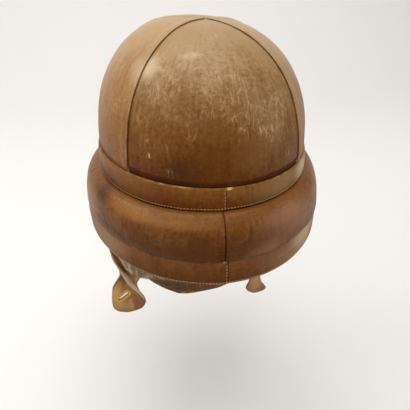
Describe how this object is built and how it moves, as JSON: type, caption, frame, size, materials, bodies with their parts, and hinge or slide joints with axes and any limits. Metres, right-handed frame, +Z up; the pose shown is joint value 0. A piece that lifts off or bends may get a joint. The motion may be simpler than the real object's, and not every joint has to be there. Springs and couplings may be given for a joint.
{
  "type": "flying helmet",
  "caption": "Leather flying helmet: a four-panel crown over a padded roll between stitched bands, with an inner nape curtain and two hanging ear flaps, one with a buttonhole.",
  "frame": {"origin": "where the helmet sits on the head, on the inside of the top of the crown", "axes": "+Z up, +Y towards the back of the head, +X towards the wearer's left"},
  "size_m": [0.2254, 0.2692, 0.305],
  "materials": {
    "crown_leather": "glossy tan leather, cracked and darkened towards its foot",
    "band_leather": "brown leather strip, worn pale along its edges",
    "roll_leather": "orange brown leather over padding, finely wrinkled",
    "rim_leather": "brown leather strip with a pale worn lower edge",
    "felt": "pale matted felt, fuzzy at the edge",
    "curtain_leather": "thin dark brown leather with a pale cut edge",
    "flap_leather": "soft tan leather, creased, with a golden stitched buttonhole"
  },
  "bodies": {
    "root": {"crown_panel_back": "crown_leather", "crown_panel_left": "crown_leather", "crown_panel_front": "crown_leather", "crown_panel_right": "crown_leather", "crown_band": "band_leather", "padded_roll": "roll_leather", "rim_band": "rim_leather", "felt_lining": "felt", "nape_curtain": "curtain_leather", "ear_flap_left": "flap_leather", "ear_flap_right": "flap_leather"}
  },
  "joints": []
}
